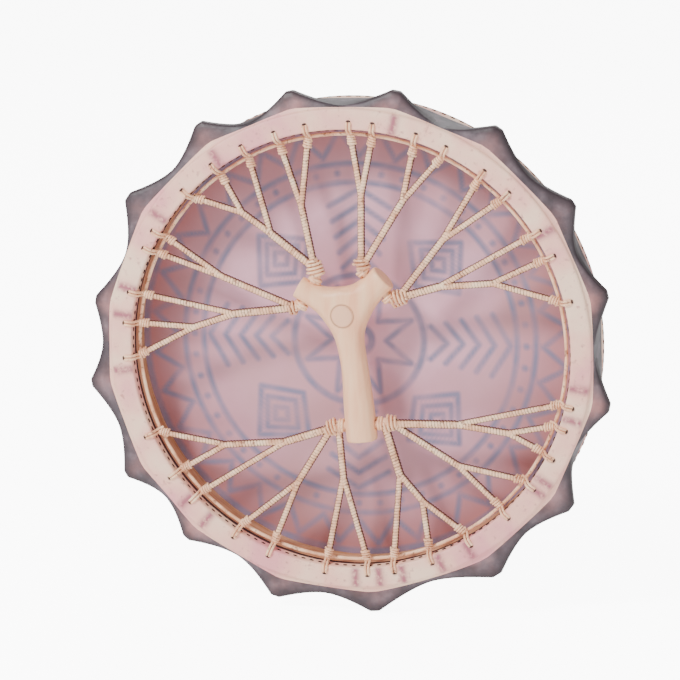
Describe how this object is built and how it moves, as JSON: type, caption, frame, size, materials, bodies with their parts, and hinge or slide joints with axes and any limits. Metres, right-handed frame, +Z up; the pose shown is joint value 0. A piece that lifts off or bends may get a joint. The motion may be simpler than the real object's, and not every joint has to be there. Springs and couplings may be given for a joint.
{
  "type": "frame drum",
  "caption": "Round hand-held frame drum with a rawhide head over rim resonators and a forked wooden grip laced across its open back.",
  "frame": {"origin": "the middle of the drum: on its axis, halfway between head and back edge, where the hand closes round the grip", "axes": "+Z up as the drum is held, +Y out of the head along the drum's axis, +X to the right as seen from the open back"},
  "size_m": [0.4927, 0.056, 0.4951],
  "materials": {
    "bent_birch": "bent birch, oiled",
    "larch_blocks": "split larch, bare",
    "rawhide": "dyed and painted rawhide, matt",
    "rawhide_thong": "undyed rawhide thong, dry",
    "peeled_branch": "peeled branch, sanded smooth"
  },
  "bodies": {
    "root": {"hoop": "bent_birch", "resonator_01": "larch_blocks", "resonator_02": "larch_blocks", "resonator_03": "larch_blocks", "resonator_04": "larch_blocks", "resonator_05": "larch_blocks", "resonator_06": "larch_blocks", "resonator_07": "larch_blocks", "resonator_08": "larch_blocks", "resonator_09": "larch_blocks", "resonator_10": "larch_blocks", "resonator_11": "larch_blocks", "resonator_12": "larch_blocks", "resonator_13": "larch_blocks", "resonator_14": "larch_blocks", "resonator_15": "larch_blocks", "resonator_16": "larch_blocks", "hide_cover": "rawhide", "edge_cord": "rawhide_thong", "lacing_a": "rawhide_thong", "lacing_b": "rawhide_thong", "lacing_c": "rawhide_thong", "lacing_d": "rawhide_thong", "lacing_e": "rawhide_thong", "lacing_f": "rawhide_thong", "lacing_g": "rawhide_thong", "lacing_h": "rawhide_thong", "lacing_i": "rawhide_thong", "lacing_j": "rawhide_thong", "lacing_k": "rawhide_thong", "lacing_l": "rawhide_thong", "lacing_m": "rawhide_thong", "lacing_n": "rawhide_thong", "tie_left": "rawhide_thong", "tie_right": "rawhide_thong", "tie_foot": "rawhide_thong", "lashing_left_upper": "rawhide_thong", "lashing_left_lower": "rawhide_thong", "lashing_right_upper": "rawhide_thong", "lashing_right_lower": "rawhide_thong", "lashing_foot_left": "rawhide_thong", "lashing_foot_right": "rawhide_thong", "handle": "peeled_branch"}
  },
  "joints": []
}
